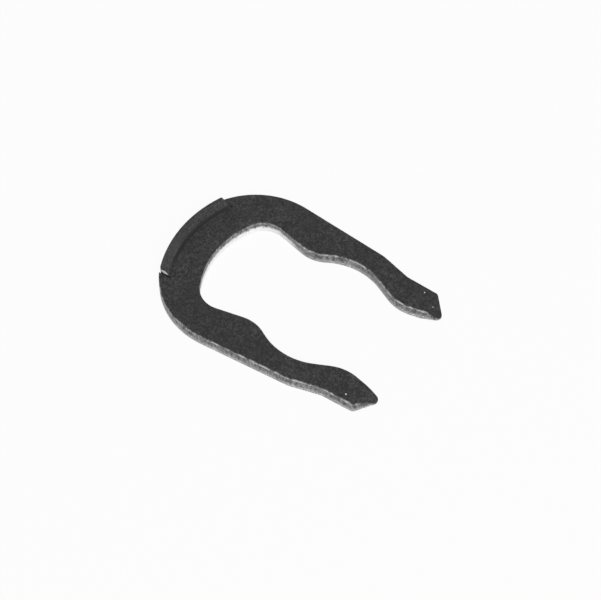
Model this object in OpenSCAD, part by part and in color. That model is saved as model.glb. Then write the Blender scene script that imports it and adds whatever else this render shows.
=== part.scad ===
// Retaining clip: a flat U stamped from spring steel sheet and blackened. Its two waved arms
// spring apart over a grooved shaft, and a lip turned up along the closed end takes a pulling tool.
// Millimetres. The origin is the centre of the seat circle on the underside, +X runs to the open
// end and +Z points up, to the side the lip is turned to.

/* [Sheet] */
// Thickness of the steel sheet
sheet_t = 1.5; // [1.2:0.1:1.8]
// Width across the arms at their widest, near the closed end
clip_w = 20.1; // [19.8:0.1:21.5]
// Width and depth of the edge that stamping rolls over around the upper face
edge_roll = 0.1; // [0.06:0.02:0.14]

/* [Seat] */
// Diameter of the shaft groove that the two seat arcs grip
seat_d = 13.9; // [13.7:0.1:14.3]
// Angle from the middle of each seat arc to its end at the bump
bump_angle = 30; // [28:0.5:30.5]
// Angle from the middle of each seat arc to its end at the barb
barb_angle = 25; // [25:0.5:28]

/* [Waved inner edge] */
// Gap between the two rounded bumps behind the seat
bump_gap = 10.9; // [10.7:0.1:11.3]
// Radius of each bump
bump_r = 4.1; // [3.4:0.1:4.6]
// Gap between the two rounded barbs in front of the seat
barb_gap = 10.2; // [9.9:0.1:10.7]
// Radius of each barb
barb_r = 4.8; // [4:0.1:6.2]

/* [Closed end] */
// Seat centre to the inner edge of the closed end
pocket_depth = 13.7; // [13.2:0.1:14.3]
// Width of the pocket between the arms
pocket_w = 12.5; // [12.3:0.1:13.1]
// Radius of the two corners of the pocket
pocket_r = 2.8; // [1.9:0.1:2.9]
// Radius of the inner edge across the closed end
inner_r = 9.9; // [9:0.1:11]
// Seat centre to the centre that the bow is struck from
bow_x = 4.7; // [4.4:0.1:5]
// Radius of the flat bow's outer edge
bow_r = 13.85; // [13.6:0.05:14.1]
// Radius of the two outer corners
corner_r = 9; // [8.5:0.1:9.3]

/* [Turned-up lip] */
// Width of the lip between the two cuts that free its ends
lip_w = 11.3; // [10:0.1:12]
// Width of each cut
slit_w = 0.12; // [0.08:0.02:0.3]
// Flat bow's outer edge back to the crease that the lip is bent along
lip_fold = 1.45; // [1.3:0.05:1.6]
// Inside radius of the bend
bend_r = 0.3; // [0.2:0.05:0.5]
// Angle the lip is bent up by
lip_angle = 38; // [30:1:50]
// Crease to the lip's upright rim
rim_reach = 1.15; // [0.9:0.05:1.25]
// Radius along the upper edge of the rim
rim_edge_r = 0.12; // [0.06:0.02:0.2]
// Radius of the lip's two outer corners
lip_corner_r = 0.3; // [0.3:0.1:0.8]

/* [Tips] */
// Seat centre to the foremost point of the noses
tip_reach = 10.7; // [10.5:0.1:11.2]
// Distance between the centres of the two noses
nose_pitch = 12.5; // [12.2:0.1:12.8]
// Radius of each nose
nose_r = 0.48; // [0.36:0.02:0.54]
// Seat centre to the centre of the outer tip corner
tip_x = 8.8; // [8.5:0.05:8.9]
// Width across the outer tip corners
tip_w = 16.5; // [16.3:0.1:16.9]
// Radius of the outer tip corner
tip_r = 0.55; // [0.4:0.05:0.65]
// Seat centre to where the upper face of the noses starts to fall
wedge_x = 9.2; // [9:0.1:9.5]
// Seat centre to where their underside starts to rise
heel_x = 8.7; // [8.5:0.1:9.2]
// Height that the underside has risen to at the end
heel_rise = 0.66; // [0.4:0.02:0.7]
// Radius that eases both faces into the wedge
wedge_r = 1.6; // [1:0.2:2]
// Thickness left at the end of each nose
nose_t = 0.26; // [0.2:0.02:0.5]

/* [Outer sides] */
// Seat centre to the inner corner where the tips step in
step_x = 5.4; // [5:0.1:5.8]
// Width across those inner corners
step_w = 16.7; // [16.5:0.1:17.1]
// Radius of those inner corners
step_r = 1.2; // [0.8:0.1:2]
// Seat centre to the shoulder where the sides start to narrow
shoulder_x = 1.2; // [0.8:0.1:1.6]
// Width across the shoulders
shoulder_w = 18.6; // [18.3:0.1:18.8]
// Radius of the shoulders
shoulder_r = 3.2; // [2:0.1:3.6]

/* [Hidden] */
$fn = 120;
steel = [0.27, 0.27, 0.27];
// Straight run left between two arcs that blend
blend = 0.4;
// How far a round passes its two flanks, and how far a rolled edge's cone passes its two bars
over = 0.0005;
roll_over = 3 * over;
// How far cutters and rounds reach past the faces they meet
past = 0.1;
seat_r = seat_d / 2;
bump_y = bump_gap / 2 + bump_r;
barb_y = barb_gap / 2 + barb_r;
inner_x = inner_r - pocket_depth;
pocket_y = pocket_w / 2 - pocket_r;
corner_y = clip_w / 2 - corner_r;
crease_r = bow_r - lip_fold;
rim_r = crease_r + rim_reach;
// The bend starts where its two tangents meet on the crease
bend_x = crease_r - bend_r * tan(lip_angle / 2);
bend_y = sheet_t + bend_r;
wedge_drop = sheet_t - heel_rise - nose_t;

// Distance from the seat's centre to a bump or a barb that rounds off a flank at an angle
function flank_x(angle, y, r) = (seat_r + r - cos(angle) * y) / sin(angle);

// Centre of a corner of radius r at height y that follows an arc of radius big around x
function follow_x(x, big, y, r) = x - sqrt(pow(big - r, 2) + blend * blend - y * y);

// Height at distance x of the lip's face that leaves the bend at radius r
function flange_z(r, x = rim_r) = bend_y - r / cos(lip_angle) + (x - bend_x) * tan(lip_angle);

// Half of the outline as rounds: centre x, centre y and radius, which is negative in a hollow.
// It runs from the inner edge of the closed end over the nose and back to the outer edge.
half_plan = [
    [inner_x, 0, -inner_r],
    [follow_x(inner_x, inner_r, pocket_y, pocket_r), pocket_y, -pocket_r],
    [-flank_x(bump_angle, bump_y, bump_r), bump_y, bump_r],
    [0, 0, -seat_r],
    [flank_x(barb_angle, barb_y, barb_r), barb_y, barb_r],
    [tip_reach - nose_r, nose_pitch / 2, nose_r],
    [tip_x, tip_w / 2 - tip_r, tip_r],
    [step_x, step_w / 2 + step_r, -step_r],
    [shoulder_x, shoulder_w / 2 - shoulder_r, shoulder_r],
    [follow_x(-bow_x, bow_r, corner_y, corner_r), corner_y, corner_r],
    [-bow_x, 0, bow_r],
];
last = len(half_plan) - 1;
plan = concat(half_plan, [for (i = [last - 1 : -1 : 1]) [half_plan[i].x, -half_plan[i].y, half_plan[i].z]]);

// Section of the lip as rounds, distance from the bow's centre against height
rim_edge_x = rim_r - rim_edge_r;
lip_section = [
    [bend_x - blend, 0, 0],
    [bend_x, bend_y, bend_y],
    [rim_r, flange_z(bend_y), 0],
    [rim_edge_x, flange_z(bend_r + rim_edge_r, rim_edge_x), rim_edge_r],
    [bend_x, bend_y, -bend_r],
    [bend_x - blend, sheet_t, 0],
];

// Upper edge of a nose seen from the side as rounds, for a wedge that starts at x and falls by drop:
// its end, the ease into the wedge and the flat face
function nose_side(x, drop) =
    let (slope = atan(drop / (tip_reach - x)))
    [
        [tip_reach, sheet_t - drop, 0],
        [x - wedge_r * tan(slope / 2), sheet_t - wedge_r, wedge_r],
        [0, sheet_t, 0],
    ];

function middle(c) = [c.x, c.y];
function left(h) = [-sin(h), cos(h)];
function pick(rounds, i) = rounds[(i + len(rounds)) % len(rounds)];

// Heading of the straight side from round i to the next one, tangent to both
function heading(rounds, i) =
    let (a = pick(rounds, i), b = pick(rounds, i + 1), d = middle(b) - middle(a))
    atan2(d.y, d.x) - asin((b.z - a.z) / norm(d));

// Angle that the outline turns by at round i
function turn(rounds, i) =
    let (d = heading(rounds, i) - heading(rounds, i - 1))
    d - 360 * round(d / 360);

// Sharp corner where the two sides beside round i meet
function corner(rounds, i) =
    let (c = pick(rounds, i), half = turn(rounds, i) / 2)
    middle(c) - c.z / cos(half) * left(heading(rounds, i - 1) + half);

// The piece between a sharp corner and its round: cut off outside, filled in a hollow
module corner_piece(rounds, i) {
    c = pick(rounds, i);
    reach = c.z + sign(c.z) * past;
    difference() {
        polygon([
            middle(c),
            middle(c) - reach * left(heading(rounds, i - 1)),
            middle(c) + reach / c.z * (corner(rounds, i) - middle(c)),
            middle(c) - reach * left(heading(rounds, i)),
        ]);
        translate(middle(c)) circle(r = abs(c.z) + over);
    }
}

// Closed outline of straight sides and the rounds between them
module outline(rounds) {
    steps = [0 : len(rounds) - 1];
    difference() {
        union() {
            polygon([for (i = steps) corner(rounds, i)]);
            for (i = steps) if (rounds[i].z < 0) corner_piece(rounds, i);
        }
        for (i = steps) if (rounds[i].z > 0) corner_piece(rounds, i);
    }
}

// Section of what a rolled edge loses at distance r from the axis it is turned around. The material
// lies towards the axis where side is 1 and away from it where side is -1.
module roll_section(r, side, reach) {
    far = edge_roll + reach;
    polygon([
        [r - side * far, sheet_t + reach],
        [r + side * reach, sheet_t - far],
        [r + side * reach, sheet_t + reach],
    ]);
}

// How far a bar or a cone of the rolled edge passes the foot of a round
function lap(r) = 2 * sqrt(2 * abs(r) * roll_over);

// What the rolled edge loses along the straight side after round i
module edge_bar(rounds, i) {
    a = pick(rounds, i);
    b = pick(rounds, i + 1);
    run = sqrt(pow(norm(middle(b) - middle(a)), 2) - pow(b.z - a.z, 2));
    lead = a.z > 0 ? lap(a.z) : 0;
    tail = b.z > 0 ? lap(b.z) : 0;
    translate(middle(a))
        rotate(heading(rounds, i) - 90)
            translate([0, run + tail, 0])
                rotate([90, 0, 0])
                    linear_extrude(run + lead + tail)
                        roll_section(a.z, 1, past);
}

// What it loses at round i
module edge_cone(rounds, i) {
    c = pick(rounds, i);
    extra = c.z < 0 ? lap(c.z) / abs(c.z) * 180 / PI : 0;
    from = c.z > 0 ? heading(rounds, i - 1) - 90 : heading(rounds, i) + 90;
    translate(middle(c))
        rotate(from - extra)
            rotate_extrude(angle = abs(turn(rounds, i)) + 2 * extra)
                roll_section(abs(c.z) + roll_over, sign(c.z), 1.5 * past);
}

// Part of the bow outside the bend, with a cut at each end of the lip
module lip_gap() {
    width = lip_w + 2 * slit_w;
    difference() {
        translate([-bow_r - past, -width / 2]) square([bow_r + past, width]);
        circle(r = bend_x);
    }
}

module flat_clip() {
    difference() {
        linear_extrude(sheet_t)
            difference() {
                outline(plan);
                translate([-bow_x, 0]) lip_gap();
            }
        for (i = [0 : len(plan) - 1]) {
            edge_bar(plan, i);
            edge_cone(plan, i);
        }
    }
}

// What rounds off the outer corner of the lip at its +Y end, from the bow's centre
module lip_corner_cut() {
    y = lip_w / 2 - lip_corner_r;
    centre = [-sqrt(pow(rim_r - lip_corner_r, 2) - y * y), y];
    side = [0, 1];
    out = centre / norm(centre);
    reach = lip_corner_r + past;
    translate([0, 0, -past])
        linear_extrude(bow_r)
            translate(centre)
                difference() {
                    polygon([[0, 0], reach * side, reach * (side + out) / (1 + side * out), reach * out]);
                    circle(r = lip_corner_r + over);
                }
}

module lip() {
    span = asin(lip_w / 2 / (bend_x - blend)) + 2;
    translate([-bow_x, 0, 0])
        difference() {
            intersection() {
                rotate_extrude(angle = 2 * span, start = 180 - span)
                    outline(lip_section);
                translate([-bow_r, -lip_w / 2, -past]) cube([bow_r, lip_w, bow_r]);
            }
            for (end = [0, 1]) mirror([0, end, 0]) lip_corner_cut();
        }
}

// What is pressed away from the upper face of both noses by a wedge that starts at x and falls by drop
module nose_cut(x, drop) {
    end = x + 2 * (tip_reach - x);
    rotate([90, 0, 0])
        linear_extrude(clip_w, center = true) {
            polygon([[x, sheet_t], [end, sheet_t - 2 * drop], [end, sheet_t + past], [x, sheet_t + past]]);
            corner_piece(nose_side(x, drop), 1);
        }
}

module clip() {
    color(steel)
        difference() {
            union() {
                flat_clip();
                lip();
            }
            nose_cut(wedge_x, wedge_drop);
            translate([0, 0, sheet_t]) mirror([0, 0, 1]) nose_cut(heel_x, heel_rise);
        }
}

clip();
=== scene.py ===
"""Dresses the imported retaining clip: a stamped, blackened spring steel clip on a pale floor."""
from math import asin, atan2, cos, degrees, hypot, pi, radians, sin, sqrt, tan

import bmesh
import bpy
from mathutils import Matrix, Vector


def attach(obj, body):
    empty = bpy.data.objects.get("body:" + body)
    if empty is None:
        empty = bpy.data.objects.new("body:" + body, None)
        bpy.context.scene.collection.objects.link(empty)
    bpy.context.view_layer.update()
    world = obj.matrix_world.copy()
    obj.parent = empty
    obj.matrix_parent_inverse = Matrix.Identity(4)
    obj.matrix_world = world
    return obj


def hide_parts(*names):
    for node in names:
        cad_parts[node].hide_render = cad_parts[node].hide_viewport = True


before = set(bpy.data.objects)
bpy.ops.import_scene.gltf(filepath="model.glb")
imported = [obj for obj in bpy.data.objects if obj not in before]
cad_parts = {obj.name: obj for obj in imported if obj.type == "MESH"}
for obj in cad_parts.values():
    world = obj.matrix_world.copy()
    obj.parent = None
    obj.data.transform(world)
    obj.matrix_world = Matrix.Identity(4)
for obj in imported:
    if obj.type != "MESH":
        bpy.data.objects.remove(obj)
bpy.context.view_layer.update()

bl_info = {
    "name": "Retaining clip",
    "version": (1, 0, 0),
    "blender": (4, 5, 0),
    "location": "3D View > Sidebar > Clip",
    "description": "Makes a stamped retaining clip with waved arms and a turned-up lip",
    "category": "Object",
}

MM = 0.001
IMAGE_WIDTH = 601
SENSOR_WIDTH = 36.0
NODE = "clip"
BODY = "root"
# Closest two points of the mesh may be and still be one
TINY = 1e-7
# Patterns of the finish, as cells per metre
SPECKLE_SCALE = 5600.0
BLOTCH_SCALE = 2200.0
AREA_SCALE = 260.0
PATCH_SCALE = 1300.0
RAGGED_SCALE = 3200.0
DRAG_SCALE = 3300.0
# Where the painted light that makes the pocket's wall pale starts and is full, along the clip
POCKET_START = -6.0 * MM
POCKET_FULL = -9.0 * MM
# Share of the floor's colour that shows as plain white, which leaves a faint shadow
FLOOR_WHITE = 0.94
FLOOR_HALF = 1.5
FLOOR_DROP = 0.02 * MM
# Points that the light and the camera face
LIT_POINT = Vector((-3.7 * MM, 0.0, 1.0 * MM))
LOOK_POINT = Vector((-2.610 * MM, -0.394 * MM, 1.5 * MM))
LOOK_LOWER = 0.053 * MM
SOFT_BOX_OFFSET = Vector((0.36, -0.2, 0.3))
SOFT_BOX_SIZE = 0.35
# Small bright spots, and last a painted glint on the lip's near end face: middle and half sizes in
# millimetres
BRIGHT_SPOTS = (
    ((7.75, -7.6, 1.5), (0.1, 0.085, 0.4)),
    ((7.8, 7.61, 1.5), (0.075, 0.085, 0.4)),
    ((9.47, 6.57, 1.4), (0.055, 0.05, 0.4)),
    # Painted highlight: a glint on the lip's near end face
    ((-16.42, -5.69, 1.82), (0.58, 0.12, 0.28)),
)


# Properties

def length(name, description, millimetres):
    """A length in metres with a default in millimetres."""
    return bpy.props.FloatProperty(
        name=name, description=description, default=millimetres * MM,
        min=0.0, unit="LENGTH", precision=6)


def angle(name, description, default):
    """An angle with a default in degrees."""
    return bpy.props.FloatProperty(
        name=name, description=description, default=radians(default), unit="ROTATION")


def grey(name, description, level):
    """A neutral colour with one linear level."""
    return bpy.props.FloatVectorProperty(
        name=name, description=description, default=(level, level, level),
        min=0.0, max=1.0, size=3, subtype="COLOR")


def factor(name, description, default):
    """A number from 0 to 1."""
    return bpy.props.FloatProperty(
        name=name, description=description, default=default, min=0.0, max=1.0, subtype="FACTOR")


class ClipSizes(bpy.types.PropertyGroup):
    """Sizes of the clip, the same as the CAD model's."""

    sheet_t: length("Sheet", "Thickness of the spring steel sheet", 1.5)
    clip_w: length("Width", "Width over the two arms", 20.1)
    seat_d: length("Seat", "Diameter of the shaft groove that the seat grips", 13.9)
    bump_angle: angle("Bump flank", "From the middle of each seat arc to its end at the bump", 30.0)
    barb_angle: angle("Barb flank", "From the middle of each seat arc to its end at the barb", 25.0)
    bump_gap: length("Bump gap", "Gap between the bumps behind the seat", 10.9)
    bump_r: length("Bump radius", "Radius of each bump", 4.1)
    barb_gap: length("Barb gap", "Gap between the barbs in front of the seat", 10.2)
    barb_r: length("Barb radius", "Radius of each barb", 4.8)
    pocket_depth: length("Pocket depth", "From the seat's centre to the inner edge of the bow", 13.7)
    pocket_w: length("Pocket width", "Width of the pocket behind the bumps", 12.5)
    pocket_r: length("Pocket corner", "Radius of the pocket's corners", 2.8)
    inner_r: length("Inner bow", "Radius of the bow's inner edge", 9.9)
    bow_x: length("Bow centre", "From the seat's centre back to the bow's centre", 4.7)
    bow_r: length("Bow", "Radius of the bow's outer edge", 13.85)
    corner_r: length("Outer corner", "Radius between the arm and the bow", 9.0)
    shoulder_x: length("Shoulder place", "From the seat's centre to the shoulder's round", 1.2)
    shoulder_w: length("Shoulder width", "Width over the shoulders", 18.6)
    shoulder_r: length("Shoulder radius", "Radius of each shoulder", 3.2)
    step_x: length("Step place", "From the seat's centre to the hollow of the step", 5.4)
    step_w: length("Step width", "Width over the steps", 16.7)
    step_r: length("Step radius", "Radius of the hollow at each step", 1.2)
    tip_x: length("Tip place", "From the seat's centre to the outer tip corner", 8.8)
    tip_w: length("Tip width", "Width over the outer tip corners", 16.5)
    tip_r: length("Tip radius", "Radius of the outer tip corners", 0.55)
    tip_reach: length("Nose reach", "From the seat's centre to the end of the noses", 10.7)
    nose_pitch: length("Nose pitch", "Distance between the two noses", 12.5)
    nose_r: length("Nose radius", "Radius of each nose", 0.48)
    wedge_x: length("Wedge start", "Where the noses' upper face starts to fall", 9.2)
    heel_x: length("Heel start", "Where the noses' underside starts to rise", 8.7)
    heel_rise: length("Heel rise", "How far the noses' underside rises", 0.66)
    nose_t: length("Nose edge", "Thickness left at the end of the noses", 0.26)
    wedge_r: length("Wedge easing", "Radius where the wedge leaves the flat", 1.6)
    lip_w: length("Lip width", "Width of the turned-up lip", 11.3)
    slit_w: length("Slit", "Width of the relief slit at each end of the lip", 0.12)
    lip_fold: length("Lip depth", "From the bow's outer edge in to the crease", 1.45)
    bend_r: length("Bend radius", "Inside radius of the lip's bend", 0.3)
    lip_angle: angle("Lip angle", "Angle that the lip is bent up by", 38.0)
    rim_reach: length("Rim reach", "From the crease out to the upright rim", 1.15)
    rim_edge_r: length("Rim rounding", "Rounding of the rim's upper edge", 0.12)
    lip_corner_r: length("Lip corner", "Rounding of the lip's two outer corners", 0.3)
    edge_roll: length("Rolled edge", "Rounding that the punch leaves along the upper edge", 0.1)
    edge_break: length("Broken edge", "Rounding left along the lower edge", 0.03)


class ClipFinish(bpy.types.PropertyGroup):
    """Colours of the clip's steel."""

    black: grey("Black", "Blackened face in its darker grains", 0.007)
    black_worn: grey("Worn black", "Blackened face in its lighter grains", 0.072)
    land: grey("Sheared land", "Smooth upper part of the sheared wall", 0.165)
    fracture: grey("Fracture", "Grainy lower part of the sheared wall", 0.5)
    # Painted light: the lower wall around the pocket shows nearly white where the light falls on it
    pocket: grey("Lit pocket wall", "Lower part of the wall around the pocket", 0.92)
    # Partly worn steel and partly a painted highlight along the rolled edges
    rub_and_light: grey("Rubbed and lit edge", "Bare steel along the rubbed edges", 0.78)
    spot_and_glint: grey("Bright spots and glint", "Small bright spots and a painted glint", 0.8)
    face_rough: factor("Face roughness", "Roughness of the blackened face", 0.62)
    land_depth: factor("Land depth", "Height of the fracture as a share of the sheet", 0.4)


class ClipStage(bpy.types.PropertyGroup):
    """Camera, floor and light."""

    azimuth: angle("Azimuth", "Camera's turn about the upright axis", 33.64)
    elevation: angle("Elevation", "Camera's height over the floor", 55.31)
    distance: length("Distance", "From the camera to the point it looks at", 210.52)
    focal: bpy.props.FloatProperty(
        name="Focal length", description="Focal length in pixels of the image", default=2000.0, min=1.0)
    floor_colour: grey("Floor", "Colour of the pale floor", 0.86)
    key_power: bpy.props.FloatProperty(
        name="Key light", description="Power of the soft box", default=1.4, min=0.0, unit="POWER")
    fill: bpy.props.FloatProperty(
        name="Fill", description="Strength of the light from all round", default=0.45, min=0.0)


# Outline of the stamping

def half_rounds(s):
    """Rounds of one half of the outline as centre and signed radius, from the pocket to the bow."""
    seat_r = s.seat_d / 2
    inner_x = s.inner_r - s.pocket_depth
    corner_y = s.clip_w / 2 - s.corner_r
    pocket_y = s.pocket_w / 2 - s.pocket_r
    blend = 0.4 * MM

    def flank_x(flank, y, r):
        return (seat_r + r - cos(flank) * y) / sin(flank)

    def follow_x(x, big, y, r):
        return x - sqrt((big - r) ** 2 + blend ** 2 - y ** 2)

    bump_y = s.bump_gap / 2 + s.bump_r
    barb_y = s.barb_gap / 2 + s.barb_r
    return [
        (inner_x, 0.0, -s.inner_r),
        (follow_x(inner_x, s.inner_r, pocket_y, s.pocket_r), pocket_y, -s.pocket_r),
        (-flank_x(s.bump_angle, bump_y, s.bump_r), bump_y, s.bump_r),
        (0.0, 0.0, -seat_r),
        (flank_x(s.barb_angle, barb_y, s.barb_r), barb_y, s.barb_r),
        (s.tip_reach - s.nose_r, s.nose_pitch / 2, s.nose_r),
        (s.tip_x, s.tip_w / 2 - s.tip_r, s.tip_r),
        (s.step_x, s.step_w / 2 + s.step_r, -s.step_r),
        (s.shoulder_x, s.shoulder_w / 2 - s.shoulder_r, s.shoulder_r),
        (follow_x(-s.bow_x, s.bow_r, corner_y, s.corner_r), corner_y, s.corner_r),
        (-s.bow_x, 0.0, s.bow_r),
    ]


def heading(a, b):
    """Direction of the straight side that touches two rounds."""
    dx, dy = b[0] - a[0], b[1] - a[1]
    return atan2(dy, dx) - asin((b[2] - a[2]) / hypot(dx, dy))


def turn_between(first, second):
    """Turn from one direction to another, within half a circle either way."""
    return (second - first + pi) % (2 * pi) - pi


def bend_along(bm, vert, centre, turn, steps):
    """Draws an arc from a vertex and gives its last vertex."""
    made = bmesh.ops.spin(
        bm, geom=[vert], cent=(centre[0], centre[1], 0.0), axis=(0.0, 0.0, 1.0),
        angle=turn, steps=steps, use_duplicate=False)
    return next(g for g in made["geom_last"] if isinstance(g, bmesh.types.BMVert))


def line_to(bm, vert, x, y):
    """Draws a straight side from a vertex and gives its end."""
    made = bmesh.ops.extrude_vert_indiv(bm, verts=[vert])
    end = made["verts"][0]
    bmesh.ops.translate(bm, verts=[end], vec=Vector((x, y, 0.0)) - end.co)
    return end


def arc_steps(turn, r):
    """Number of steps that keeps an arc smooth."""
    return max(4, round(abs(degrees(turn)) / 3.0), round(abs(turn * r) / (0.35 * MM)))


def crease(s):
    """Radius of the lip's crease about the bow's centre."""
    return s.bow_r - s.lip_fold


def bend_start(s):
    """Radius at which the bend leaves the flat."""
    return crease(s) - s.bend_r * tan(s.lip_angle / 2)


def rim_radius(s):
    """Radius of the lip's upright rim about the bow's centre."""
    return crease(s) + s.rim_reach


def corner_room(s):
    """Width kept clear of cross lines beside the lip's ends, for the rounding of its corners."""
    return 1.25 * s.lip_corner_r


def draw_half_outline(bm, s):
    """Draws half of the flat's outline, with the notch that the lip stands in."""
    rounds = half_rounds(s)
    corner, bow = rounds[-2:]
    vert = bm.verts.new((-s.pocket_depth, 0.0, 0.0))
    facing = pi / 2
    for here, after in zip(rounds, rounds[1:-1]):
        side = heading(here, after)
        turn = turn_between(facing, side)
        vert = bend_along(bm, vert, here, turn, arc_steps(turn, here[2]))
        x = after[0] + after[2] * sin(side)
        y = after[1] - after[2] * cos(side)
        vert = line_to(bm, vert, x, y)
        facing = side
    slit_y = s.lip_w / 2 + s.slit_w
    slit_mouth = pi - asin((slit_y - corner[1]) / corner[2])
    turn = turn_between(facing - pi / 2, slit_mouth)
    vert = bend_along(bm, vert, corner, turn, arc_steps(turn, corner[2]))
    fold_r = bend_start(s)
    vert = line_to(bm, vert, bow[0] - sqrt(fold_r ** 2 - slit_y ** 2), slit_y)
    before = asin(slit_y / fold_r)
    lip_end = s.lip_w / 2
    for y, steps in ((lip_end, 1), (lip_end - corner_room(s), 1), (0.0, 15)):
        after = asin(y / fold_r)
        vert = bend_along(bm, vert, bow, before - after, steps)
        before = after


# Clip

def upright(face):
    """Whether a face is part of a wall."""
    return abs(face.normal.z) < 0.35


def in_slit(s, face):
    """Whether a wall is one of those at the lip's two cuts, which take the black face as painted shade in
    the slits.
    """
    middle = face.calc_center_median()
    return (abs(face.normal.y) > 0.8 and middle.x < -s.bow_x - crease(s) / 2
            and hypot(middle.x + s.bow_x, middle.y) > bend_start(s)
            and -0.3 * MM < abs(middle.y) - s.lip_w / 2 < s.slit_w + 0.01 * MM)


def along_bow(s, v):
    """Distance of a vertex from the bow's centre."""
    return hypot(v.co.x + s.bow_x, v.co.y)


def stamp_flat(bm, s):
    """Stamps the flat U and rolls its upper edge."""
    draw_half_outline(bm, s)
    bmesh.ops.mirror(
        bm, geom=bm.verts[:] + bm.edges[:], matrix=Matrix.Identity(4), merge_dist=TINY, axis="Y")
    bmesh.ops.remove_doubles(bm, verts=bm.verts[:], dist=TINY)
    bmesh.ops.edgeloop_fill(bm, edges=bm.edges[:])
    made = bmesh.ops.extrude_face_region(bm, geom=bm.faces[:])
    raised = [g for g in made["geom"] if isinstance(g, bmesh.types.BMVert)]
    bmesh.ops.translate(bm, verts=raised, vec=(0.0, 0.0, s.sheet_t))
    bmesh.ops.recalc_face_normals(bm, faces=bm.faces[:])
    fold_r = bend_start(s)
    slit_y = s.lip_w / 2 + s.slit_w

    def in_notch(edge):
        if all(abs(along_bow(s, v) - fold_r) < TINY for v in edge.verts):
            return True
        return all(abs(abs(v.co.y) - slit_y) < TINY and v.co.x < -s.bow_x for v in edge.verts)

    def level(z):
        return [e for e in bm.edges
                if all(abs(v.co.z - z) < TINY for v in e.verts) and not in_notch(e)]

    rolled = round_edges(bm, level(s.sheet_t), s.edge_roll, 4)
    round_edges(bm, level(0.0), s.edge_break, 1)
    return rolled


def round_edges(bm, edges, offset, segments):
    """Rounds edges and gives the vertices inside the rounding."""
    made = bmesh.ops.bevel(
        bm, geom=edges, offset=offset, offset_type="OFFSET", segments=segments, profile=0.5,
        affect="EDGES", clamp_overlap=False, loop_slide=True, material=-1)
    strips = set(made["faces"])
    return [v for v in made["verts"] if v.is_valid and all(f in strips for f in v.link_faces)]


def turn_up_lip(bm, s):
    """Bends the lip up from the notch in the bow, ring by ring, out to its rounded rim and corners."""
    fold_r = bend_start(s)
    rim_r = rim_radius(s)
    bend_z = s.sheet_t + s.bend_r
    lip_end = s.lip_w / 2

    def face_z(r, inside):
        """Height of the lip's face that leaves the bend at a radius."""
        past = r - fold_r
        if past < inside * sin(s.lip_angle):
            return bend_z - sqrt(inside ** 2 - past ** 2)
        return bend_z - inside / cos(s.lip_angle) + past * tan(s.lip_angle)

    round_r = rim_r - s.rim_edge_r
    round_z = face_z(round_r, s.bend_r + s.rim_edge_r)
    round_start = round_r - s.rim_edge_r * sin(s.lip_angle)

    def upper_z(r):
        """Height of the upper face, which rounds over into the rim."""
        if r < round_start:
            return face_z(r, s.bend_r)
        return round_z + sqrt(max(0.0, s.rim_edge_r ** 2 - (r - round_r) ** 2))

    corner_y = lip_end - s.lip_corner_r
    corner_far = rim_r - s.lip_corner_r
    corner_x = sqrt(corner_far ** 2 - corner_y ** 2)

    def end_y(r):
        """Half the lip's width at a ring, which narrows around the corner."""
        if r ** 2 - lip_end ** 2 < corner_x ** 2:
            return lip_end
        along = (r ** 2 - s.lip_corner_r ** 2 + corner_far ** 2) / (2 * corner_far)
        return (along * corner_y + sqrt(max(0.0, r ** 2 - along ** 2)) * corner_x) / corner_far

    bend_steps, face_steps, rim_steps = 6, 6, 10
    bend_end = fold_r + s.bend_r * sin(s.lip_angle)
    rings = [fold_r + s.bend_r * sin(s.lip_angle * k / bend_steps) for k in range(1, bend_steps + 1)]
    rings += [bend_end + (round_start - bend_end) * k / face_steps for k in range(1, face_steps + 1)]
    rim_turn = pi / 2 + s.lip_angle
    rings += [round_r + s.rim_edge_r * sin(rim_turn * k / rim_steps - s.lip_angle)
              for k in range(1, rim_steps + 1)]

    faces = [f for f in bm.faces
             if all(abs(along_bow(s, v) - fold_r) < TINY and abs(v.co.y) < lip_end + TINY
                    for v in f.verts)]
    middle, end = s.sheet_t / 2, lip_end
    for r in rings:
        made = bmesh.ops.extrude_face_region(bm, geom=faces)
        bmesh.ops.delete(bm, geom=faces, context="FACES")
        faces = [g for g in made["geom"] if isinstance(g, bmesh.types.BMFace)]
        upper, lower, new_end = upper_z(r), face_z(r, bend_z), end_y(r)
        for v in (g for g in made["geom"] if isinstance(g, bmesh.types.BMVert)):
            if abs(v.co.y) > end - TINY:
                v.co.y = new_end if v.co.y > 0.0 else -new_end
            v.co.x = -s.bow_x - sqrt(r ** 2 - v.co.y ** 2)
            v.co.z = upper if v.co.z > middle else lower
        middle, end = (upper + lower) / 2, new_end
    bmesh.ops.recalc_face_normals(bm, faces=bm.faces[:])


def eased_fall(x, start, fall, end, easing):
    """How far a slope has fallen at x, with a round where it leaves the flat."""
    slope = atan2(fall, end - start)
    past = x - (start - easing * tan(slope / 2))
    if past <= 0.0:
        return 0.0
    if past < easing * sin(slope):
        return easing - sqrt(easing ** 2 - past ** 2)
    return (x - start) * tan(slope)


def press_noses(bm, s):
    """Presses the noses to a wedge from both faces."""
    cuts = 22
    first = min(s.heel_x, s.wedge_x) - 0.7 * MM
    for k in range(cuts):
        x = first + (s.tip_reach - first) * k / cuts
        bmesh.ops.bisect_plane(
            bm, geom=bm.verts[:] + bm.edges[:] + bm.faces[:], dist=TINY,
            plane_co=(x, 0.0, 0.0), plane_no=(1.0, 0.0, 0.0))
    wedge_drop = s.sheet_t - s.heel_rise - s.nose_t
    for v in bm.verts:
        if v.co.x > first:
            top = s.sheet_t - eased_fall(v.co.x, s.wedge_x, wedge_drop, s.tip_reach, s.wedge_r)
            under = eased_fall(v.co.x, s.heel_x, s.heel_rise, s.tip_reach, s.wedge_r)
            v.co.z = under + (top - under) * v.co.z / s.sheet_t


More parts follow.
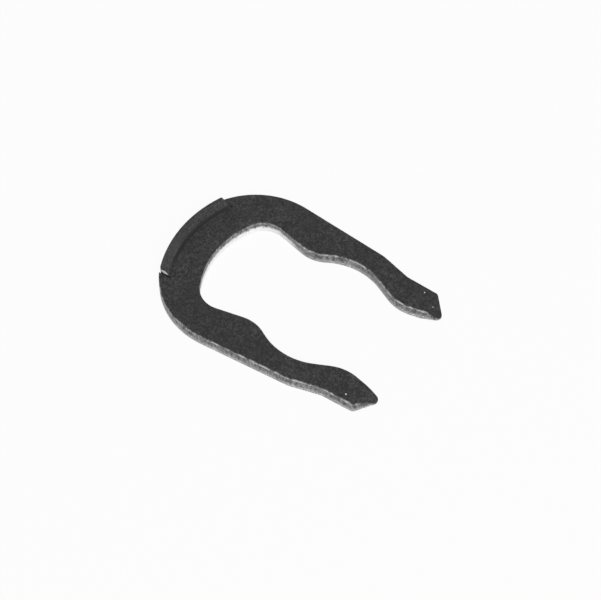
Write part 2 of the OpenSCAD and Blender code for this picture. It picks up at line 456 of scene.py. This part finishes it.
def make_clip_mesh(s):
    """Makes the clip's mesh with its depth attribute and the attribute of its worn rolled edges with
    their painted highlight.
    """
    bm = bmesh.new()
    depth = bm.verts.layers.float.new("depth")
    rubbed_and_lit = bm.verts.layers.float.new("rubbed_and_lit")
    # The rolled upper edge takes worn steel with a painted highlight, fading out at the noses
    for v in stamp_flat(bm, s):
        v[rubbed_and_lit] = 1.0
    for v in bm.verts:
        v[depth] = v.co.z / s.sheet_t
    turn_up_lip(bm, s)
    press_noses(bm, s)
    for v in bm.verts:
        v[rubbed_and_lit] *= max(0.0, min(1.0, (s.wedge_x + 0.5 * MM - v.co.x) / (0.5 * MM)))
    bmesh.ops.recalc_face_normals(bm, faces=bm.faces[:])
    for f in bm.faces:
        f.smooth = True
        # Walls at the lip's cuts get the black face instead of the sheared wall, as painted shade in the
        # slits
        f.material_index = 1 if upright(f) and not in_slit(s, f) else 0
    mesh = bpy.data.meshes.new("clip_steel")
    bm.to_mesh(mesh)
    bm.free()
    mesh.set_sharp_from_angle(angle=radians(40.0))
    return mesh


class MakeClip(bpy.types.Operator):
    """Stamp, roll, bend and press the clip"""

    bl_idname = "clip.make_clip"
    bl_label = "Clip"

    def execute(self, context):
        scene = context.scene
        clip = bpy.data.objects.new("clip_steel", make_clip_mesh(scene.clip_sizes))
        scene.collection.objects.link(clip)
        clip.data.materials.append(blackened_face(scene.clip_finish, scene.clip_sizes))
        clip.data.materials.append(sheared_edge(scene.clip_finish, scene.clip_sizes))
        weighted = clip.modifiers.new("Flat faces", "WEIGHTED_NORMAL")
        weighted.mode = "FACE_AREA"
        weighted.weight = 50
        weighted.keep_sharp = True
        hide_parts(NODE)
        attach(clip, BODY)
        return {"FINISHED"}


# Materials

def add_node(tree, kind, x, y, **values):
    """Adds a node at a place, with its own settings."""
    node = tree.nodes.new(kind)
    node.location = (x, y)
    for key, value in values.items():
        setattr(node, key, value)
    return node


def noise(tree, vector, scale, detail, x, y, roughness=0.55):
    """Adds a noise on a vector and gives its value."""
    node = add_node(tree, "ShaderNodeTexNoise", x, y)
    node.inputs["Scale"].default_value = scale
    node.inputs["Detail"].default_value = detail
    node.inputs["Roughness"].default_value = roughness
    tree.links.new(vector, node.inputs["Vector"])
    return node.outputs["Fac"]


def spread(tree, value, low, high, x, y, to_low=0.0, to_high=1.0):
    """Maps a value's range to another one, held at its ends."""
    node = add_node(tree, "ShaderNodeMapRange", x, y, interpolation_type="SMOOTHSTEP")
    node.inputs["From Min"].default_value = low
    node.inputs["From Max"].default_value = high
    node.inputs["To Min"].default_value = to_low
    node.inputs["To Max"].default_value = to_high
    tree.links.new(value, node.inputs["Value"])
    return node.outputs["Result"]


def combine(tree, operation, first, second, x, y):
    """Adds a maths node on two values or numbers."""
    node = add_node(tree, "ShaderNodeMath", x, y, operation=operation)
    for socket, value in zip(node.inputs, (first, second)):
        if isinstance(value, (int, float)):
            socket.default_value = value
        else:
            tree.links.new(value, socket)
    return node.outputs["Value"]


def mix_colour(tree, fac, first, second, x, y):
    """Mixes two colours by a mask."""
    node = add_node(tree, "ShaderNodeMix", x, y, data_type="RGBA")
    for name, value in (("A_Color", first), ("B_Color", second)):
        socket = next(i for i in node.inputs if i.identifier == name)
        if isinstance(value, bpy.types.NodeSocket):
            tree.links.new(value, socket)
        else:
            socket.default_value = (*value, 1.0)
    tree.links.new(fac, node.inputs[0])
    return next(o for o in node.outputs if o.identifier == "Result_Color")


def mill_grain_group():
    """Fine speckle of the blackened sheet, with broad smooth and grainy areas."""
    group = bpy.data.node_groups.get("Mill grain")
    if group:
        return group
    group = bpy.data.node_groups.new("Mill grain", "ShaderNodeTree")
    face = group.interface
    face.new_socket("Vector", in_out="INPUT", socket_type="NodeSocketVector")
    face.new_socket("Speckle", in_out="OUTPUT", socket_type="NodeSocketFloat")
    face.new_socket("Height", in_out="OUTPUT", socket_type="NodeSocketFloat")
    enter = add_node(group, "NodeGroupInput", -800, 0)
    leave = add_node(group, "NodeGroupOutput", 500, 0)
    place = enter.outputs["Vector"]
    fine = noise(group, place, SPECKLE_SCALE, 2.0, -560, 160)
    coarse = noise(group, place, BLOTCH_SCALE, 3.0, -560, -60)
    broad = noise(group, place, AREA_SCALE, 2.0, -560, -280)
    speck = spread(group, fine, 0.42, 0.68, -340, 160)
    blot = spread(group, coarse, 0.36, 0.74, -340, -60)
    area = spread(group, broad, 0.35, 0.65, -340, -280, 0.6, 1.0)
    both = combine(group, "ADD", combine(group, "MULTIPLY", speck, 0.6, -120, 160),
                   combine(group, "MULTIPLY", blot, 0.4, -120, -60), 80, 80)
    result = combine(group, "MULTIPLY", both, area, 260, 80)
    group.links.new(result, leave.inputs["Speckle"])
    group.links.new(fine, leave.inputs["Height"])
    return group


def rubbed_and_lit_edge_group():
    """Patchy wear and painted highlight along the rolled edges."""
    group = bpy.data.node_groups.get("Rubbed and lit edge")
    if group:
        return group
    group = bpy.data.node_groups.new("Rubbed and lit edge", "ShaderNodeTree")
    face = group.interface
    face.new_socket("Vector", in_out="INPUT", socket_type="NodeSocketVector")
    face.new_socket("Edge", in_out="INPUT", socket_type="NodeSocketFloat")
    face.new_socket("Mask", in_out="OUTPUT", socket_type="NodeSocketFloat")
    enter = add_node(group, "NodeGroupInput", -600, 0)
    leave = add_node(group, "NodeGroupOutput", 300, 0)
    patch = noise(group, enter.outputs["Vector"], PATCH_SCALE, 3.0, -380, -120, 0.7)
    kept = spread(group, patch, 0.44, 0.64, -180, -120, 0.05, 1.0)
    band = spread(group, enter.outputs["Edge"], 0.0, 0.7, -180, 80)
    group.links.new(combine(group, "MULTIPLY", band, kept, 60, 0), leave.inputs["Mask"])
    return group


def start_material(name):
    """A material with its Principled shader, its Object coordinates and the two groups."""
    material = bpy.data.materials.new(name)
    material.use_nodes = True
    tree = material.node_tree
    shader = next(n for n in tree.nodes if n.type == "BSDF_PRINCIPLED")
    where = add_node(tree, "ShaderNodeTexCoord", -1400, 0).outputs["Object"]
    grain = add_node(tree, "ShaderNodeGroup", -1100, 120, node_tree=mill_grain_group())
    rub_and_light = add_node(tree, "ShaderNodeGroup", -1100, -120, node_tree=rubbed_and_lit_edge_group())
    tree.links.new(where, grain.inputs["Vector"])
    tree.links.new(where, rub_and_light.inputs["Vector"])
    return material, tree, shader, where, grain, rub_and_light


def bump(tree, height, strength, distance, x, y, under=None):
    """Adds a bump on a height, over another bump if one is given."""
    node = add_node(tree, "ShaderNodeBump", x, y)
    node.inputs["Strength"].default_value = strength
    node.inputs["Distance"].default_value = distance
    tree.links.new(height, node.inputs["Height"])
    if under is not None:
        tree.links.new(under, node.inputs["Normal"])
    return node.outputs["Normal"]


def bright_spots(tree, where, spots, x, y):
    """Mask of small spots, each given by its middle and its half sizes in millimetres."""
    nearest = None
    for k, (middle, half) in enumerate(spots):
        at = y - 180 * k
        away = add_node(tree, "ShaderNodeVectorMath", x, at, operation="SUBTRACT")
        away.inputs[1].default_value = Vector(middle) * MM
        share = add_node(tree, "ShaderNodeVectorMath", x + 180, at, operation="DIVIDE")
        share.inputs[1].default_value = Vector(half) * MM
        reach = add_node(tree, "ShaderNodeVectorMath", x + 360, at, operation="LENGTH")
        tree.links.new(where, away.inputs[0])
        tree.links.new(away.outputs["Vector"], share.inputs[0])
        tree.links.new(share.outputs["Vector"], reach.inputs[0])
        value = reach.outputs["Value"]
        nearest = value if nearest is None else combine(tree, "MINIMUM", nearest, value, x + 540, at)
    return spread(tree, nearest, 0.6, 1.25, x + 720, y, 1.0, 0.0)


def axes_of(tree, where, x, y):
    """The three coordinates of a place."""
    axes = add_node(tree, "ShaderNodeSeparateXYZ", x, y)
    tree.links.new(where, axes.inputs["Vector"])
    return axes.outputs


def distance_from(tree, where, centre_x, x, y):
    """Distance in plan from a point on the clip's long axis."""
    move = add_node(tree, "ShaderNodeVectorMath", x, y, operation="SUBTRACT")
    move.inputs[1].default_value = (centre_x, 0.0, 0.0)
    level = add_node(tree, "ShaderNodeVectorMath", x + 180, y, operation="MULTIPLY")
    level.inputs[1].default_value = (1.0, 1.0, 0.0)
    reach = add_node(tree, "ShaderNodeVectorMath", x + 360, y, operation="LENGTH")
    tree.links.new(where, move.inputs[0])
    tree.links.new(move.outputs["Vector"], level.inputs[0])
    tree.links.new(level.outputs["Vector"], reach.inputs[0])
    return reach.outputs["Value"]


def around_pocket(tree, where, sizes, x, y):
    """Mask of the inner edge around the pocket at the closed end, where painted light makes the wall
    pale.
    """
    r = distance_from(tree, where, sizes.inner_r - sizes.pocket_depth, x, y)
    axes = axes_of(tree, where, x + 360, y - 220)
    behind = spread(tree, axes["X"], POCKET_FULL, POCKET_START, x + 540, y - 220, 1.0, 0.0)
    within = spread(tree, r, sizes.inner_r + 0.3 * MM, sizes.inner_r + 1.0 * MM, x + 540, y, 1.0, 0.0)
    return combine(tree, "MULTIPLY", behind, within, x + 720, y)


def rubbed_and_lit_edges(tree, rub_and_light, pocket, x, y):
    """Mask of the worn steel and painted highlight along the rolled edges, little of it around the
    pocket.
    """
    kept = spread(tree, pocket, 0.0, 1.0, x, y, 1.0, 0.25)
    return combine(tree, "MULTIPLY", rub_and_light.outputs["Mask"], kept, x + 180, y)


def crease_shade_and_lip_light(tree, where, sizes, x, y):
    """Masks of the painted shade along the crease in the bend and of the painted light on the lip's upper
    face beyond it.
    """
    r = distance_from(tree, where, -sizes.bow_x, x, y)
    axes = axes_of(tree, where, x, y - 220)
    past = combine(tree, "SUBTRACT", r, crease(sizes), x + 540, y)
    off = combine(tree, "ABSOLUTE", past, 0.0, x + 720, y)
    # Painted shade: a darkened line along the crease, where the hollow of the bend lies in shade
    line = spread(tree, off, 0.1 * MM, 0.25 * MM, x + 900, y, 1.0, 0.0)
    half = sizes.lip_w / 2
    wide = combine(tree, "ABSOLUTE", axes["Y"], 0.0, x + 360, y - 220)
    inside = spread(tree, wide, half - 0.3 * MM, half, x + 540, y - 220, 1.0, 0.0)
    above = spread(tree, axes["Z"], sizes.sheet_t - 0.3 * MM, sizes.sheet_t - 0.1 * MM,
                   x + 540, y - 440)
    upper = combine(tree, "MULTIPLY", inside, above, x + 720, y - 220)
    # The painted shade of the crease fades towards the near end
    fade = spread(tree, axes["Y"], -5.0 * MM, -2.5 * MM, x + 540, y - 660, 0.45, 1.0)
    bent = combine(tree, "MULTIPLY", line, upper, x + 1080, y)
    crease_shade = combine(tree, "MULTIPLY", bent, fade, x + 1260, y)
    # Painted light: the lip's face beyond the crease, which tilts towards the light, is made lighter,
    # most towards the near end
    beyond = spread(tree, r, crease(sizes) + 0.1 * MM, crease(sizes) + 0.3 * MM, x + 900, y - 440)
    far = spread(tree, axes["Y"], -4.0 * MM, 4.0 * MM, x + 540, y - 880, 1.0, 0.1)
    outer = combine(tree, "MULTIPLY", beyond, upper, x + 1080, y - 440)
    return crease_shade, combine(tree, "MULTIPLY", outer, far, x + 1260, y - 440)


def blackened_face(finish, sizes):
    """Blackened sheet: matt, finely speckled, with painted shade in the bend and painted light on the lip
    beyond it, worn steel with a painted highlight along the rolled edges, and small bright spots with a
    painted glint.
    """
    material, tree, shader, where, grain, rub_and_light = start_material("blackened_face")
    edge = add_node(tree, "ShaderNodeAttribute", -1400, -260, attribute_name="rubbed_and_lit")
    tree.links.new(edge.outputs["Fac"], rub_and_light.inputs["Edge"])
    colour = mix_colour(tree, grain.outputs["Speckle"], finish.black, finish.black_worn, -700, 200)
    crease_shade, lip = crease_shade_and_lip_light(tree, where, sizes, -2900, 900)
    # Painted light: lightens the lip's upper face beyond the crease
    colour = mix_colour(tree, combine(tree, "MULTIPLY", lip, 0.22, -700, 420), colour,
                        [c * 1.6 for c in finish.black_worn], -520, 200)
    # Painted shade: the crease turns to a quarter of the black
    colour = mix_colour(tree, crease_shade, colour, [c * 0.25 for c in finish.black], -340, 200)
    # Worn steel and a painted highlight along the rolled edges
    rubbed_and_lit = rubbed_and_lit_edges(tree, rub_and_light, around_pocket(tree, where, sizes, -2900, 1500), -520, 500)
    rubbed_and_lit = combine(tree, "MULTIPLY", rubbed_and_lit, 0.4, -160, 500)
    colour = mix_colour(tree, rubbed_and_lit, colour, finish.rub_and_light, -160, 200)
    # Small bright spots and a painted glint on the lip's near end face
    spots = bright_spots(tree, where, BRIGHT_SPOTS, -2900, -900)
    colour = mix_colour(tree, spots, colour, finish.spot_and_glint, 20, 200)
    tree.links.new(colour, shader.inputs["Base Color"])
    rough = spread(tree, grain.outputs["Speckle"], 0.0, 1.0, -450, 0,
                   finish.face_rough + 0.08, finish.face_rough - 0.08)
    tree.links.new(rough, shader.inputs["Roughness"])
    tree.links.new(bump(tree, grain.outputs["Height"], 0.6, 8e-6, -450, -300), shader.inputs["Normal"])
    shader.inputs["Metallic"].default_value = 0.2
    shader.location = (260, 200)
    return material


def sheared_edge(finish, sizes):
    """Sheared wall: a dragged land above a paler, grainy fracture, with painted light that makes it
    nearly white around the pocket.
    """
    material, tree, shader, where, grain, rub_and_light = start_material("sheared_edge")
    depth = add_node(tree, "ShaderNodeAttribute", -1400, -500, attribute_name="depth").outputs["Fac"]
    axes = axes_of(tree, where, -1800, -260)
    short_of_nose = spread(tree, axes["X"], sizes.wedge_x - 0.3 * MM, sizes.wedge_x + 0.4 * MM,
                           -1600, -260, 1.0, 0.0)
    # Worn steel and a painted highlight along the wall's rolled upper edge, stopping short of the noses
    upper = spread(tree, depth, 0.76, 0.95, -1600, -500, 0.0, 0.6)
    tree.links.new(combine(tree, "MULTIPLY", upper, short_of_nose, -1250, -260), rub_and_light.inputs["Edge"])
    ragged = noise(tree, where, RAGGED_SCALE, 4.0, -1100, -420, 0.65)
    wander = combine(tree, "SUBTRACT", ragged, 0.5, -900, -420)
    wander = combine(tree, "MULTIPLY", wander, 0.7, -740, -420)
    # Painted light: around the pocket the pale lower band of the wall grows taller
    pocket = around_pocket(tree, where, sizes, -2300, 500)
    level = combine(tree, "SUBTRACT", combine(tree, "ADD", depth, wander, -580, -420),
                    combine(tree, "MULTIPLY", pocket, 0.14, -740, -600), -500, -500)
    torn = spread(tree, level, finish.land_depth - 0.2, finish.land_depth + 0.1, -420, -420, 1.0, 0.0)
    drawn = add_node(tree, "ShaderNodeMapping", -1100, -700)
    drawn.inputs["Scale"].default_value = (1.0, 1.0, 0.4)
    tree.links.new(where, drawn.inputs["Vector"])
    drag = noise(tree, drawn.outputs["Vector"], DRAG_SCALE, 5.0, -900, -700, 0.72)
    land = mix_colour(tree, spread(tree, drag, 0.38, 0.63, -700, -700),
                      [c * 0.3 for c in finish.land], [c * 1.8 for c in finish.land], -420, 60)
    crumb = mix_colour(tree, grain.outputs["Speckle"],
                       [c * 0.6 for c in finish.fracture], [c * 1.7 for c in finish.fracture], -420, 260)
    # Painted light: the lower wall around the pocket turns nearly white
    crumb = mix_colour(tree, pocket, crumb, finish.pocket, -240, 360)
    colour = mix_colour(tree, torn, land, crumb, -60, 160)
    colour = mix_colour(tree, rubbed_and_lit_edges(tree, rub_and_light, pocket, -420, 560), colour, finish.rub_and_light, 120, 160)
    tree.links.new(colour, shader.inputs["Base Color"])
    tree.links.new(spread(tree, torn, 0.0, 1.0, -200, -60, 0.42, 0.7), shader.inputs["Roughness"])
    scored = bump(tree, drag, 0.4, 6e-6, -420, -240)
    grainy = bump(tree, grain.outputs["Height"], 0.5, 1e-5, -200, -240, scored)
    tree.links.new(grainy, shader.inputs["Normal"])
    shader.inputs["Metallic"].default_value = 0.3
    shader.location = (360, 200)
    return material


# Stage

def looked_at(tree, x, y):
    """Mask of the rays by which the camera or a reflection sees a surface."""
    path = add_node(tree, "ShaderNodeLightPath", x, y)
    seen = path.outputs["Is Camera Ray"]
    for name in ("Is Glossy Ray", "Is Transmission Ray"):
        x += 200
        seen = combine(tree, "MAXIMUM", seen, path.outputs[name], x, y)
    return seen


def floor_material(stage):
    """Pale floor that shows white to the camera and keeps a soft shadow."""
    material = bpy.data.materials.new("pale_floor")
    material.use_nodes = True
    tree = material.node_tree
    tree.nodes.clear()
    out = add_node(tree, "ShaderNodeOutputMaterial", 600, 0)
    matt = add_node(tree, "ShaderNodeBsdfDiffuse", 0, 120)
    matt.inputs["Color"].default_value = (*stage.floor_colour, 1.0)
    white = add_node(tree, "ShaderNodeEmission", 0, -80)
    white.inputs["Strength"].default_value = 1.0
    seen = combine(tree, "MULTIPLY", looked_at(tree, -700, 320), FLOOR_WHITE, 0, 320)
    mix = add_node(tree, "ShaderNodeMixShader", 320, 0)
    tree.links.new(seen, mix.inputs["Fac"])
    tree.links.new(matt.outputs["BSDF"], mix.inputs[1])
    tree.links.new(white.outputs["Emission"], mix.inputs[2])
    tree.links.new(mix.outputs["Shader"], out.inputs["Surface"])
    return material


def light_world(stage):
    """Even light from all round, white where the camera or a reflection sees it."""
    world = bpy.data.worlds.new("studio")
    bpy.context.scene.world = world
    world.use_nodes = True
    tree = world.node_tree
    sky = next(n for n in tree.nodes if n.type == "BACKGROUND")
    seen = looked_at(tree, -900, 0)
    strength = add_node(tree, "ShaderNodeMapRange", -300, 0)
    strength.inputs["To Min"].default_value = stage.fill
    strength.inputs["To Max"].default_value = 1.0
    tree.links.new(seen, strength.inputs["Value"])
    sky.inputs["Color"].default_value = (1.0, 1.0, 1.0, 1.0)
    tree.links.new(strength.outputs["Result"], sky.inputs["Strength"])


def add_soft_box(name, place, aim, size, power):
    """Adds a square soft box that faces a point."""
    data = bpy.data.lights.new(name, "AREA")
    data.shape = "SQUARE"
    data.size = size
    data.energy = power
    lamp = bpy.data.objects.new(name, data)
    lamp.location = place
    lamp.rotation_euler = (aim - place).to_track_quat("-Z", "Y").to_euler()
    bpy.context.scene.collection.objects.link(lamp)


class MakeStage(bpy.types.Operator):
    """Set the floor, the light and the camera"""

    bl_idname = "clip.make_stage"
    bl_label = "Stage"

    def execute(self, context):
        scene = context.scene
        stage = scene.clip_stage
        bm = bmesh.new()
        bmesh.ops.create_grid(bm, x_segments=1, y_segments=1, size=FLOOR_HALF)
        floor_mesh = bpy.data.meshes.new("floor")
        bm.to_mesh(floor_mesh)
        bm.free()
        floor = bpy.data.objects.new("floor", floor_mesh)
        floor.location.z = -FLOOR_DROP
        floor_mesh.materials.append(floor_material(stage))
        scene.collection.objects.link(floor)

        light_world(stage)
        add_soft_box("soft_box", LIT_POINT + SOFT_BOX_OFFSET, LIT_POINT, SOFT_BOX_SIZE, stage.key_power)

        a, e = stage.azimuth, stage.elevation
        back = Vector((sin(a) * cos(e), -cos(a) * cos(e), sin(e)))
        up = Vector((-sin(a) * sin(e), cos(a) * sin(e), cos(e)))
        right = up.cross(back)
        look_at = LOOK_POINT - up * LOOK_LOWER
        lens = bpy.data.cameras.new("camera")
        lens.sensor_width = SENSOR_WIDTH
        lens.lens = stage.focal / IMAGE_WIDTH * SENSOR_WIDTH
        lens.clip_start = 0.01
        camera = bpy.data.objects.new("camera", lens)
        camera.matrix_world = Matrix.Translation(look_at + back * stage.distance) @ Matrix(
            (right, up, back)).transposed().to_4x4()
        scene.collection.objects.link(camera)
        scene.camera = camera
        scene.view_settings.view_transform = "Standard"
        return {"FINISHED"}


# Add-on

class ClipPanel(bpy.types.Panel):
    """Sizes, finish and stage of the clip"""

    bl_idname = "CLIP_PT_sizes"
    bl_label = "Retaining clip"
    bl_space_type = "VIEW_3D"
    bl_region_type = "UI"
    bl_category = "Clip"

    def draw(self, context):
        scene = context.scene
        for group in (scene.clip_sizes, scene.clip_finish, scene.clip_stage):
            column = self.layout.column(align=True)
            for name in group.__annotations__:
                column.prop(group, name)
        self.layout.operator(MakeClip.bl_idname)
        self.layout.operator(MakeStage.bl_idname)


CLASSES = (ClipSizes, ClipFinish, ClipStage, MakeClip, MakeStage, ClipPanel)


def register():
    for cls in CLASSES:
        bpy.utils.register_class(cls)
    bpy.types.Scene.clip_sizes = bpy.props.PointerProperty(type=ClipSizes)
    bpy.types.Scene.clip_finish = bpy.props.PointerProperty(type=ClipFinish)
    bpy.types.Scene.clip_stage = bpy.props.PointerProperty(type=ClipStage)


def unregister():
    del bpy.types.Scene.clip_stage
    del bpy.types.Scene.clip_finish
    del bpy.types.Scene.clip_sizes
    for cls in reversed(CLASSES):
        bpy.utils.unregister_class(cls)


def main():
    register()
    bpy.ops.clip.make_stage()
    bpy.ops.clip.make_clip()


if __name__ == "__main__":
    main()
